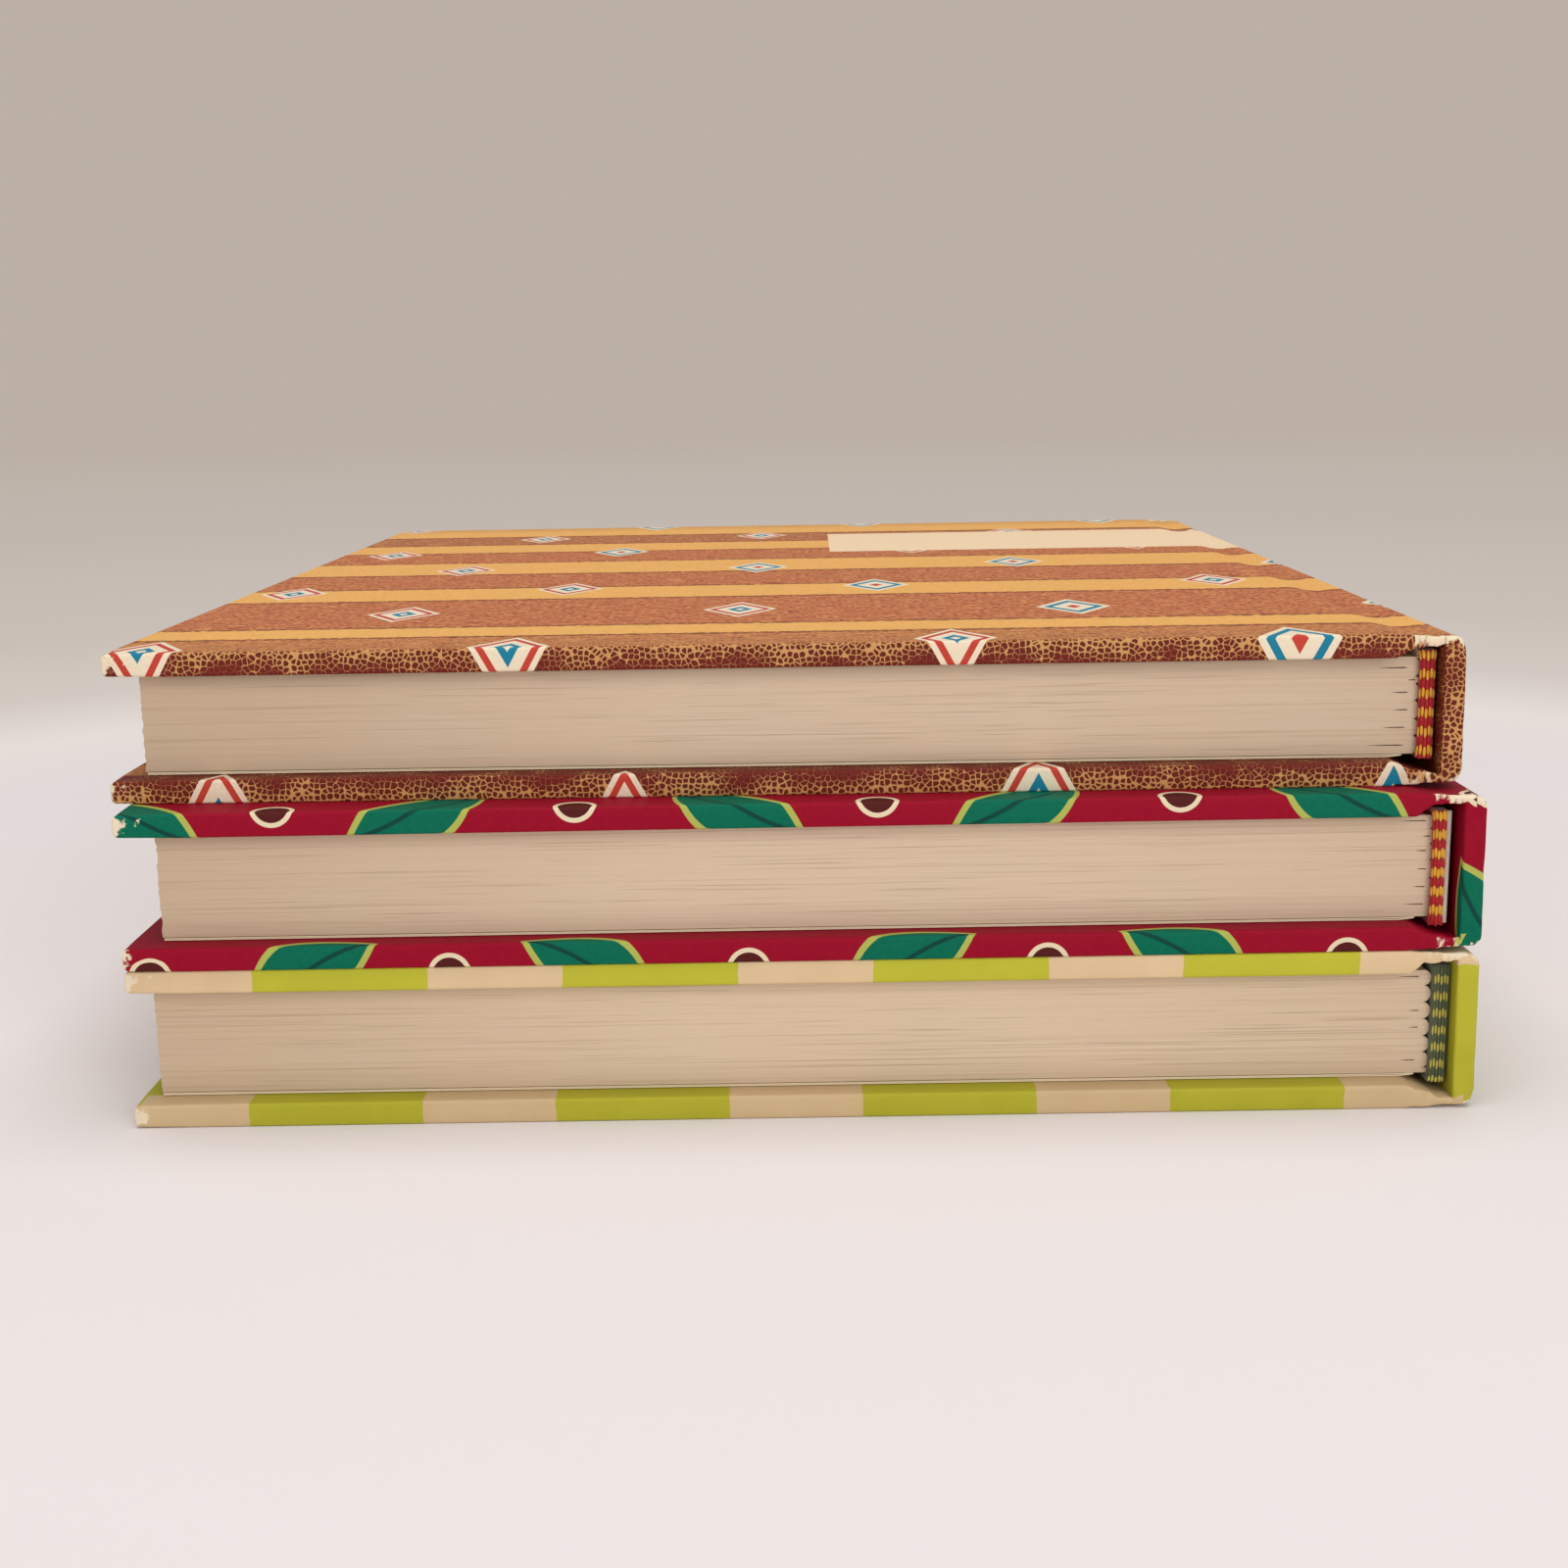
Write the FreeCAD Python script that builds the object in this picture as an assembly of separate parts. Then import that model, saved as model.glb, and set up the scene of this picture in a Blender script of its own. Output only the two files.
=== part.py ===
import FreeCAD, Part
import os
from collections import namedtuple

from FreeCAD import Vector

# Three case-bound books that lie in a stack, front covers up.
# Each book is a case of two boards and a spine board in one printed covering, and a sewn block
# of leaves that hangs in the case by its folded endpapers.
# +X runs from the fore-edges to the spines, +Y from head to tail, +Z up.
# The origin is the middle of the bottom book's underside. Millimetres and degrees.

# Case, the same for the three books
case_width = 168.0
case_height = 206.0
board_thickness = 2.3
spine_board_thickness = 2.0
covering_thickness = 0.35
joint_width = 5.9
groove_depth = 0.7
spine_drop = 0.4
spine_corner_radius = 1.5
edge_radius = 0.8
turn_in = 15.0

# Leaves, endpapers, bands and lining, the same for the three books
head_square = 3.6
endpaper_thickness = 0.2
endpaper_slit = 0.1
band_tape_thickness = 0.4
band_tape_length = 12.0
band_rise = 1.5
band_bead_length = 2.6
band_overhang = 0.8
lining_thickness = 0.3

# The one cover that can be lifted in the stack is parted from its spine by this slit
hinge_slit = 0.2

# Bottom book
bottom_thickness = 20.4
bottom_fore_square = 2.8
bottom_section_count = 7
bottom_bead_width = 1.9
bottom_hollow = 0.3
bottom_yaw = 0.55

# Middle book
middle_thickness = 19.9
middle_fore_square = 4.4
middle_section_count = 6
middle_bead_width = 2.0
middle_hollow = 0.9
middle_shift_x = -0.3
middle_shift_y = -0.3
middle_yaw = 0.78

# Top book
top_thickness = 19.0
top_fore_square = 3.8
top_section_count = 6
top_bead_width = 1.7
top_hollow = 0.4
top_shift_x = -0.9
top_shift_y = 5.1
top_yaw = 0.0

# Places that follow from the case
cover_thickness = board_thickness + 2 * covering_thickness
spine_thickness = spine_board_thickness + 2 * covering_thickness
board_back = case_width - spine_thickness - joint_width
groove_middle = board_back + joint_width / 2
block_inset = cover_thickness + 2 * endpaper_thickness + endpaper_slit

Book = namedtuple("Book", "name thickness fore_square section_count bead_width hollow "
                          "shift_x shift_y base yaw")


def box(x0, x1, y0, y1, z0, z1):
    """A block between two corners."""
    return Part.makeBox(x1 - x0, y1 - y0, z1 - z0, Vector(x0, y0, z0))


def flipped(shape, book):
    """The same shape on the other cover of the book, upside down."""
    return shape.mirror(Vector(0, 0, book.thickness / 2), Vector(0, 0, 1))


def at_tail(shape):
    """The same shape at the tail of the book."""
    return shape.mirror(Vector(0, case_height / 2, 0), Vector(0, 1, 0))


def at_x(edge, x):
    """Whether an edge lies in the plane across the book at x."""
    return all(abs(vertex.X - x) < 1e-6 for vertex in edge.Vertexes)


def soft_slab(x0, x1, y0, y1, z0, z1, radius):
    """A slab with its head, tail and fore-edge rounded, and square towards the spine."""
    slab = box(x0, x1, y0, y1, z0, z1)
    return slab.makeFillet(radius, [edge for edge in slab.Edges if not at_x(edge, x1)])


def front_board(book):
    """The stiff board of the front cover."""
    return soft_slab(
        covering_thickness, board_back,
        covering_thickness, case_height - covering_thickness,
        book.thickness - cover_thickness + covering_thickness, book.thickness - covering_thickness,
        edge_radius - covering_thickness,
    )


def spine_board(book):
    """The flat stiffener in the spine, rounded on its two outer corners."""
    outer = case_width - covering_thickness
    lowest = spine_drop + covering_thickness
    board = box(
        outer - spine_board_thickness, outer,
        covering_thickness, case_height - covering_thickness,
        lowest, book.thickness - lowest,
    )
    corners = [edge for edge in board.Edges if at_x(edge, outer) and edge.Length > book.thickness]
    return board.makeFillet(spine_corner_radius - covering_thickness, corners)


def joint_and_spine_face(book, layers):
    """The section of the covering over both joints and the spine, with the spine board in it.

    layers is 1 along the book, and 2 at head and tail, where the covering is turned in.
    """
    depth = layers * covering_thickness
    inner = case_width - spine_board_thickness - depth
    top = book.thickness
    shoulder = top - spine_drop
    corner = spine_corner_radius
    corner_middle = corner * (1 - 0.5 ** 0.5)

    def on_front(x, z):
        return Vector(x, 0, z)

    def on_back(x, z):
        return Vector(x, 0, top - z)

    def groove(side, end, sink):
        return Part.Arc(side(board_back, top - sink),
                        side((board_back + end) / 2, top - groove_depth - sink),
                        side(end, shoulder - sink)).toShape()

    def rounding(side):
        return Part.Arc(side(case_width - corner, shoulder),
                        side(case_width - corner_middle, shoulder - corner_middle),
                        side(case_width, shoulder - corner)).toShape()

    outer_end = case_width - spine_thickness
    edges = [Part.makeLine(on_front(case_width, shoulder - corner),
                           on_back(case_width, shoulder - corner)),
             Part.makeLine(on_front(inner, shoulder - depth), on_back(inner, shoulder - depth))]
    for side in (on_front, on_back):
        edges += [groove(side, outer_end, 0),
                  Part.makeLine(side(outer_end, shoulder), side(case_width - corner, shoulder)),
                  rounding(side),
                  groove(side, inner, depth),
                  Part.makeLine(side(board_back, top), side(board_back, top - depth))]
    return Part.Face(Part.Wire(Part.sortEdges(edges)[0]))


def joints_and_spine(book):
    """The covering over both joints and the spine, doubled where it is turned in."""
    sheet = joint_and_spine_face(book, 1).extrude(Vector(0, case_height, 0))
    head = joint_and_spine_face(book, 2).extrude(Vector(0, turn_in, 0))
    return sheet.fuse([head, at_tail(head)])


def front_sleeve(book):
    """The covering round the front board, with a window on the inside within its turn-ins."""
    inside = book.thickness - cover_thickness
    sleeve = soft_slab(0, board_back, 0, case_height, inside, book.thickness, edge_radius)
    window = box(turn_in, board_back, turn_in, case_height - turn_in,
                 inside, inside + covering_thickness)
    return sleeve.cut([window, front_board(book)])


def covering(book):
    """The one sheet of printed paper that covers both boards and the spine."""
    sleeve = front_sleeve(book)
    sheet = sleeve.fuse([flipped(sleeve, book), joints_and_spine(book)]).cut(spine_board(book))
    return sheet.removeSplitter()


def front_half(book, reach):
    """The space of the front cover up to reach, and well past its three free edges."""
    past = turn_in
    return box(-past, reach, -past, case_height + past, book.thickness / 2, book.thickness + past)


def block_back(book):
    """Where the folds of the sections end, towards the spine."""
    return case_width - spine_thickness - book.hollow - book.bead_width


def pasted_leaf(book, end):
    """The leaf pasted to the front board, which steps down inside the turn-ins."""
    inside = book.thickness - cover_thickness
    leaf = box(book.fore_square, end, head_square, case_height - head_square,
               inside - endpaper_thickness, inside)
    step = box(turn_in, board_back, turn_in, case_height - turn_in,
               inside, inside + covering_thickness)
    return leaf.fuse(step)


def free_leaf(book):
    """The loose leaf of the front endpaper, on the block."""
    low = book.thickness - block_inset
    return box(book.fore_square, block_back(book), head_square, case_height - head_square,
               low, low + endpaper_thickness)


def front_endpaper(book):
    """The folded sheet that joins the block to the front cover, its fold towards the spine."""
    back = block_back(book)
    inside = book.thickness - cover_thickness
    fold = box(back - endpaper_thickness, back, head_square, case_height - head_square,
               book.thickness - block_inset, inside)
    return pasted_leaf(book, back).fuse([free_leaf(book), fold]).removeSplitter()


def text_block(book):
    """The sewn leaves as one solid, with each section's round fold at the spine."""
    low = block_inset
    high = book.thickness - low
    back = block_back(book)
    section = (high - low) / book.section_count
    straight = back - section / 2
    edges = [Part.makeLine(Vector(straight, 0, high), Vector(book.fore_square, 0, high)),
             Part.makeLine(Vector(book.fore_square, 0, high), Vector(book.fore_square, 0, low)),
             Part.makeLine(Vector(book.fore_square, 0, low), Vector(straight, 0, low))]
    for index in range(book.section_count):
        start = low + index * section
        edges.append(Part.Arc(Vector(straight, 0, start), Vector(back, 0, start + section / 2),
                              Vector(straight, 0, start + section)).toShape())
    face = Part.Face(Part.Wire(edges))
    face.translate(Vector(0, head_square, 0))
    return face.extrude(Vector(0, case_height - 2 * head_square, 0))


def head_band(book):
    """The woven band at the head: a round-nosed bead on a tape glued behind the sections."""
    back = block_back(book)
    low = block_inset - band_overhang
    height = book.thickness - 2 * low
    nose = book.bead_width / 2
    front = head_square - band_rise
    far = front + band_bead_length
    outer = back + book.bead_width
    edges = [Part.makeLine(Vector(back, far, low), Vector(back, front + nose, low)),
             Part.Arc(Vector(back, front + nose, low), Vector(back + nose, front, low),
                      Vector(outer, front + nose, low)).toShape(),
             Part.makeLine(Vector(outer, front + nose, low), Vector(outer, far, low)),
             Part.makeLine(Vector(outer, far, low), Vector(back, far, low))]
    bead = Part.Face(Part.Wire(edges)).extrude(Vector(0, 0, height))
    tape = box(back, back + band_tape_thickness, front + nose, head_square + band_tape_length,
               low, low + height)
    return bead.fuse(tape).removeSplitter()


def spine_lining(book):
    """The lining glued along the folds of the sections and over the tapes of both bands."""
    back = block_back(book)
    lining = box(back, back + band_tape_thickness + lining_thickness,
                 head_square, case_height - head_square,
                 block_inset, book.thickness - block_inset)
    band = head_band(book)
    return lining.cut([band, at_tail(band)])


def book_pieces(book):
    """Every piece of a book whose covers stay shut in the stack."""
    board = front_board(book)
    band = head_band(book)
    endpaper = front_endpaper(book)
    return {
        "front_board": board,
        "back_board": flipped(board, book),
        "spine_board": spine_board(book),
        "covering": covering(book),
        "front_endpaper": endpaper,
        "back_endpaper": flipped(endpaper, book),
        "text_block": text_block(book),
        "head_band": band,
        "tail_band": at_tail(band),
        "spine_lining": spine_lining(book),
    }


def part_front_cover(book, pieces):
    """Part the covering and the front endpaper at the groove, so that the cover can be lifted."""
    whole = pieces.pop("covering")
    pieces["covering"] = whole.cut(front_half(book, groove_middle + hinge_slit / 2))
    pieces["front_covering"] = whole.common(front_half(book, groove_middle - hinge_slit / 2))
    del pieces["front_endpaper"]
    pieces["front_pastedown"] = pasted_leaf(book, board_back).removeSplitter()
    pieces["front_flyleaf"] = free_leaf(book)


def place(shape, book):
    """Put a piece of a book where the book lies in the stack."""
    placed = shape.copy()
    placed.translate(Vector(-case_width / 2, -case_height / 2, 0))
    placed.rotate(Vector(0, 0, 0), Vector(0, 0, 1), book.yaw)
    placed.translate(Vector(book.shift_x, book.shift_y, book.base))
    return placed


def write(shape, name):
    """Write one piece, which must be a single sound solid."""
    if len(shape.Solids) != 1 or not shape.isValid():
        raise ValueError(name + " is not one sound solid")
    shape.Solids[0].exportStep("parts/" + name + ".step")


def main():
    os.makedirs("parts", exist_ok=True)
    bottom = Book("bottom", bottom_thickness, bottom_fore_square, bottom_section_count,
                  bottom_bead_width, bottom_hollow, 0, 0, 0, bottom_yaw)
    middle = Book("middle", middle_thickness, middle_fore_square, middle_section_count,
                  middle_bead_width, middle_hollow, middle_shift_x, middle_shift_y,
                  bottom_thickness, middle_yaw)
    top = Book("top", top_thickness, top_fore_square, top_section_count,
               top_bead_width, top_hollow, top_shift_x, top_shift_y,
               bottom_thickness + middle_thickness, top_yaw)
    for book in (bottom, middle, top):
        pieces = book_pieces(book)
        if book is top:
            part_front_cover(book, pieces)
        for name, shape in pieces.items():
            write(place(shape, book), book.name + "_" + name)


main()
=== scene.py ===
import math
from collections import namedtuple
from functools import partial

import bmesh
import bpy
from bpy.props import FloatProperty, FloatVectorProperty, PointerProperty
from mathutils import Matrix, Vector, noise


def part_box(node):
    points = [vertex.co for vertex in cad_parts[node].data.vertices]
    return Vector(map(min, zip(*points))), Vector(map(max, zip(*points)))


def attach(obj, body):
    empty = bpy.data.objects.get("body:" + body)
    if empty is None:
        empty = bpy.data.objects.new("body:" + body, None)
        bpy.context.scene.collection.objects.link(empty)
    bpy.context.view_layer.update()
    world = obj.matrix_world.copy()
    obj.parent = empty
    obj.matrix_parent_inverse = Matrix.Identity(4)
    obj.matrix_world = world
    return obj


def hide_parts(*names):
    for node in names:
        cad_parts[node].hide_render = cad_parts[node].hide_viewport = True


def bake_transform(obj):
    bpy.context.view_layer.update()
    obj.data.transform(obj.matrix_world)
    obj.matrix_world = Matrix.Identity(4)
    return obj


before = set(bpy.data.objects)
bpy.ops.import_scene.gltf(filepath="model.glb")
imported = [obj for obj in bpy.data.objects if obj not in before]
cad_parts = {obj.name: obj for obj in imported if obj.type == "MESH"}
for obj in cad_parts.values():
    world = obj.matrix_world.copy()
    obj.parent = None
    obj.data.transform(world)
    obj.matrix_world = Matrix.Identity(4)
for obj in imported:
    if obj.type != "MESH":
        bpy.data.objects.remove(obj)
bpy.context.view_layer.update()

bl_info = {
    "name": "Stack of books",
    "version": (1, 0, 0),
    "blender": (4, 5, 0),
    "location": "3D View > Sidebar > Books",
    "description": "Three case-bound books in printed paper, in a stack",
    "category": "Object",
}

# The shapes are made in each book's own frame, in millimetres: x from the fore-edge to the spine,
# y from the head to the tail, z up from the underside. place() puts them in the stack, in metres.
MM = 0.001

# The mesh layers that the materials read: the place on the flat printed sheet in millimetres, how
# worn the paper is there, and which thread of a band shows
SHEET = "sheet"
WEAR = "wear"
THREAD = "thread"

# The wall's colour
WALL = "#BCB0A6"

# The printed sheets, in millimetres: their height, the leaf print's tile, the distances between
# the lozenges, and the width and distance of the lime bands
SHEET_HEIGHT = 206.0
LEAF_TILE = (37.0, 27.0)
LOZENGE_PITCH = (47.0, 34.3)
LIME_WIDTH, LIME_PITCH = 21.8, 38.5
# How far each back cover's print lies from the front cover's, along the sheet, in millimetres
PRINT_OFFSET = {"bottom": 3.7, "middle": 0.0, "top": 0.0}
# How far the print is rubbed off at the ends of each book's joints
RUBBED = {"bottom": 0.5, "middle": 0.52, "top": 0.55}

# How much of a section's height its folds take at most, and the thickness of an endpaper and the
# room between a cover and the leaves, in millimetres
ROUNDEST_FOLD = 0.47
ENDPAPER = 0.14
INSIDE_GAP = 0.5

# The places of the folds between the sections, from the lowest to the highest, as shares of the
# block, and each section's slit at the thread: height as a share, length and distance from the back
TOP_FOLDS = (0.0, 0.187, 0.368, 0.56, 0.735, 0.815, 1.0)
TOP_SLITS = ((0.09, 5.0, 1.5), (0.277, 3.2, 1.4), (0.463, 2.0, 1.2), (0.645, 2.3, 1.2),
             (0.775, 1.1, 0.4), (0.905, 3.7, 1.4))
MIDDLE_FOLDS = (0.0, 0.2, 0.38, 0.56, 0.72, 0.87, 1.0)
MIDDLE_SLITS = ((0.12, 2.9, 0.6), (0.295, 1.6, 0.6), (0.47, 1.3, 0.5), (0.65, 1.4, 0.6),
                (0.793, 1.1, 0.1), (0.945, 3.6, 0.6))
BOTTOM_FOLDS = (0.0, 0.045, 0.205, 0.36, 0.53, 0.69, 0.855, 1.0)
BOTTOM_SLITS = ((0.125, 1.9, 1.7), (0.445, 1.4, 1.4), (0.61, 1.4, 1.4), (0.94, 3.0, 1.4))

# What sets the books apart, in millimetres: the nodes of the covering, the cover beyond the leaves
# at the fore-edge, the hollow behind the band's bead, the bead, the folds, their radius (0 for as
# round as they can be), the slits, the lean of the block, and what starts the book's noise
Traits = namedtuple("Traits", "name nodes fore_square hollow bead_width folds fold_radius slits "
                              "lean seed")
TRAITS = (
    Traits("bottom", ["bottom_covering"], 2.8, 0.05, 2.1, BOTTOM_FOLDS, 0.0, BOTTOM_SLITS,
           0.35, 3.1),
    Traits("middle", ["middle_covering"], 4.4, 0.9, 2.0, MIDDLE_FOLDS, 0.35, MIDDLE_SLITS,
           0.15, 17.4),
    Traits("top", ["top_covering", "top_front_covering"], 3.8, 0.4, 1.7, TOP_FOLDS, 0.6,
           TOP_SLITS, 0.1, 31.7))

# One book of the stack: what sets it apart, its underside, thickness, middle and turn, and where
# its block ends
Book = namedtuple("Book", (*Traits._fields, "base", "thickness", "shift", "yaw", "block_back"))

# A woven band: lengths of the floats and of the ground between them, their shift from column to
# column, the thread's width, the angle that the columns spread over, and what is at the top
COLUMNS = 5
Weave = namedtuple("Weave", "over under step thread spread floats_first")
WARM_WEAVE = Weave(1.25, 1.15, 0.25, 0.4, 130, True)
GREY_WEAVE = Weave(1.17, 1.03, 0.22, 0.3, 84, False)
# The bead's and the tape's length from the head inwards, the tape's thickness, the angle that the
# columns are turned by, and the selvedge of cloth beside the middle book's band
BEAD_DEPTH, TAPE_LENGTH, TAPE_THICKNESS = 2.6, 15.6, 0.4
BAND_TURN = -12
SELVEDGE_WIDTH, SELVEDGE_RADIUS = 0.6, 0.32

# The camera that fits the photo's outlines: lens and sensor in millimetres, angles in radians and
# the place in metres
LENS, SENSOR = 49.84, 36.0
CAMERA_PITCH, CAMERA_YAW, CAMERA_ROLL = 0.18871, -0.01252, -0.01686
CAMERA_PLACE = (2.481 * MM, -362.761 * MM, 92.338 * MM)
# The soft lamps: name, place and size in metres, and watts
LAMPS = (("key", (0.55, -1.5, 0.6), 1.0, 12.0), ("fill", (-0.8, -1.4, 0.5), 1.0, 3.5),
         ("top", (0.0, -0.1, 1.4), 1.1, 13.0))
LOOKED_AT = (0.0, 0.0, 0.03)


class CaseSettings(bpy.types.PropertyGroup):
    """Sizes that the three cases share."""

    width: FloatProperty(name="Width", description="From fore-edge to spine",
                         default=168 * MM, unit="LENGTH")
    height: FloatProperty(name="Height", description="From head to tail",
                          default=206 * MM, unit="LENGTH")
    cover_thickness: FloatProperty(name="Cover thickness", description="Board in its paper",
                                   default=3.0 * MM, unit="LENGTH")
    spine_thickness: FloatProperty(name="Spine thickness", description="Spine board in its paper",
                                   default=2.7 * MM, unit="LENGTH")
    joint_width: FloatProperty(name="Joint width", description="Between the board and the spine",
                               default=5.9 * MM, unit="LENGTH")
    groove_depth: FloatProperty(name="Groove depth", description="Dip of the joint",
                                default=0.7 * MM, unit="LENGTH")
    spine_drop: FloatProperty(name="Spine drop", description="Step from the cover to the spine",
                              default=0.4 * MM, unit="LENGTH")
    spine_radius: FloatProperty(name="Spine corner radius", description="Along the spine's edges",
                                default=1.6 * MM, unit="LENGTH")
    doubled_paper: FloatProperty(name="Doubled paper", description="Paper turned in at the joints",
                                 default=0.8 * MM, unit="LENGTH")
    head_square: FloatProperty(name="Head square", description="Cover beyond the leaves",
                               default=3.6 * MM, unit="LENGTH")
    yaw: FloatVectorProperty(name="Turn in the stack", description="Bottom, middle, top book",
                             size=3, subtype="EULER",
                             default=(math.radians(0.55), math.radians(0.78), 0.0))


def linear(value):
    """The linear colour of an sRGB hex value. Any other value stays as it is."""
    if not isinstance(value, str):
        return value
    parts = [int(value[place:place + 2], 16) / 255 for place in (1, 3, 5)]
    return tuple(part / 12.92 if part <= 0.04045 else ((part + 0.055) / 1.055) ** 2.4
                 for part in parts) + (1.0,)


def add_node(tree, kind, inputs=(), out=0, stops=(), steps="LINEAR", **settings):
    """Add a shader node, set it, link or fill its inputs, and give back one of its outputs.

    The kind can have an operation after a dot, and colours are hex values. Inputs go by name or in
    the node's own order: MapRange takes the value, the range that it comes from and the range that
    it goes to, and Mix takes the share and the two colours.
    """
    kind, _, operation = kind.partition(".")
    made = tree.nodes.new("ShaderNode" + kind)
    if operation:
        made.operation = operation
    if kind == "Mix":
        # A mix of colours has its share and its colours at these inputs
        made.data_type, out, inputs = "RGBA", 2, dict(zip((0, 6, 7), inputs))
    for name, value in settings.items():
        setattr(made, name, value)
    if stops:
        made.color_ramp.interpolation = steps
        ramp = made.color_ramp.elements
        while len(ramp) < len(stops):
            ramp.new(1.0)
        for element, (position, colour) in zip(ramp, stops):
            element.position = position
            element.color = linear(colour)
    for key, value in (inputs.items() if isinstance(inputs, dict) else enumerate(inputs)):
        if isinstance(value, bpy.types.NodeSocket):
            tree.links.new(value, made.inputs[key])
        else:
            made.inputs[key].default_value = linear(value)
    return made.outputs[out]


def start_material(name, roughness, specular=0.2):
    """A new material with its shader set; gives it, what adds nodes to it and the shader."""
    made = bpy.data.materials.new(name)
    made.use_nodes = True
    shader = made.node_tree.nodes["Principled BSDF"]
    shader.inputs["Roughness"].default_value = roughness
    shader.inputs["IOR"].default_value = 1.45
    shader.inputs["Specular IOR Level"].default_value = specular
    return made, partial(add_node, made.node_tree), shader


def give_surface(add, shader, colour, height, depth, strength=0.6):
    """Link a colour and a relief, with its depth in metres, to a shader."""
    links = shader.id_data.links
    links.new(colour, shader.inputs["Base Color"])
    bump = add("Bump", {"Height": height, "Distance": depth, "Strength": strength})
    links.new(bump, shader.inputs["Normal"])


def get_material(name, maker):
    """The material of that name, made the first time that it is asked for."""
    return bpy.data.materials.get(name) or maker(name)


def add_wear(add, shader, sheet, printed, relief, core):
    """Show the paper's pale core where the print is rubbed off, and give the sheet its relief.

    The sheet's coordinates are in millimetres, so a noise scale of 0.42 gives patches of 2.4 mm.
    """
    rub = add("TexNoise", {"Vector": sheet, "Scale": 0.42, "Detail": 4.0, "Roughness": 0.6})
    worn = add("Attribute", out="Fac", attribute_name=WEAR)
    amount = add("Math.ADD", [worn, rub])
    bare = add("MapRange", [amount, 0.98, 1.03])
    colour = add("Mix", [bare, printed, core])
    grain = add("TexNoise", {"Vector": sheet, "Scale": 4.0, "Detail": 2.0})
    height = add("Math.ADD", [grain, relief])
    height = add("Math.SUBTRACT", [height, bare])
    give_surface(add, shader, colour, height, 0.03 * MM)


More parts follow.
